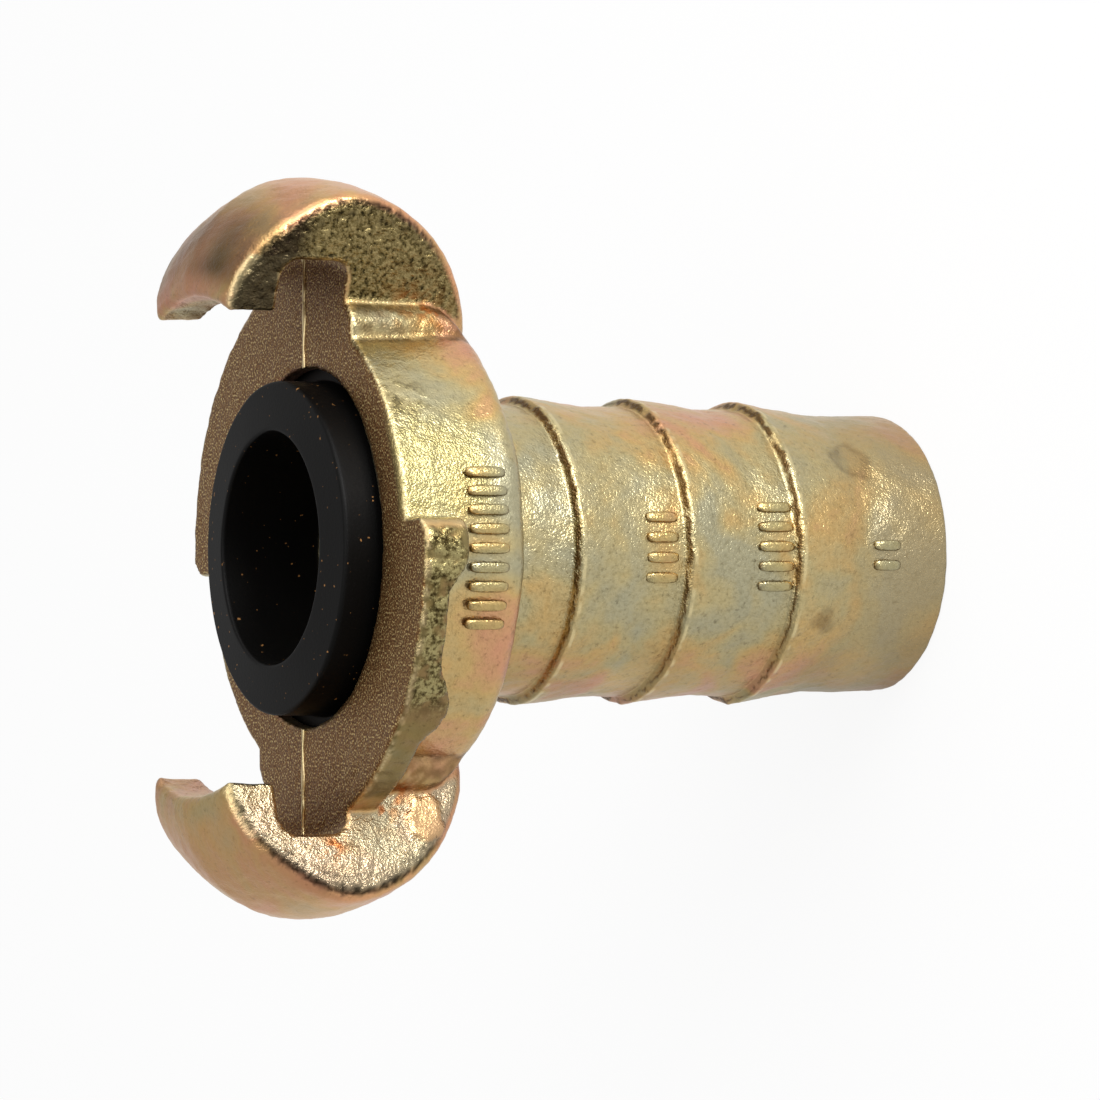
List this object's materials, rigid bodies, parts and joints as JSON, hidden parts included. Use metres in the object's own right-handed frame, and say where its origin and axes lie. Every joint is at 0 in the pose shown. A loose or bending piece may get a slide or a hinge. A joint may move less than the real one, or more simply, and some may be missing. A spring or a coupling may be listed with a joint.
{
  "type": "claw hose coupling",
  "caption": "Quarter-turn coupling half: two hooked claws and cam lips round a rubber face seal, with a ribbed hose tail behind.",
  "frame": {"origin": "centre of the tail's end face, on the waterway's axis", "axes": "+Z along the waterway from the tail to the sealing face; the claws stand at +Y and -Y"},
  "size_m": [0.049, 0.065, 0.0704],
  "materials": {
    "plated_iron": "zinc plated and yellow chromated over the as-forged skin",
    "seal_rubber": "moulded matte black"
  },
  "bodies": {
    "root": {"coupling_body": "plated_iron", "sealing_ring": "seal_rubber"}
  },
  "joints": []
}
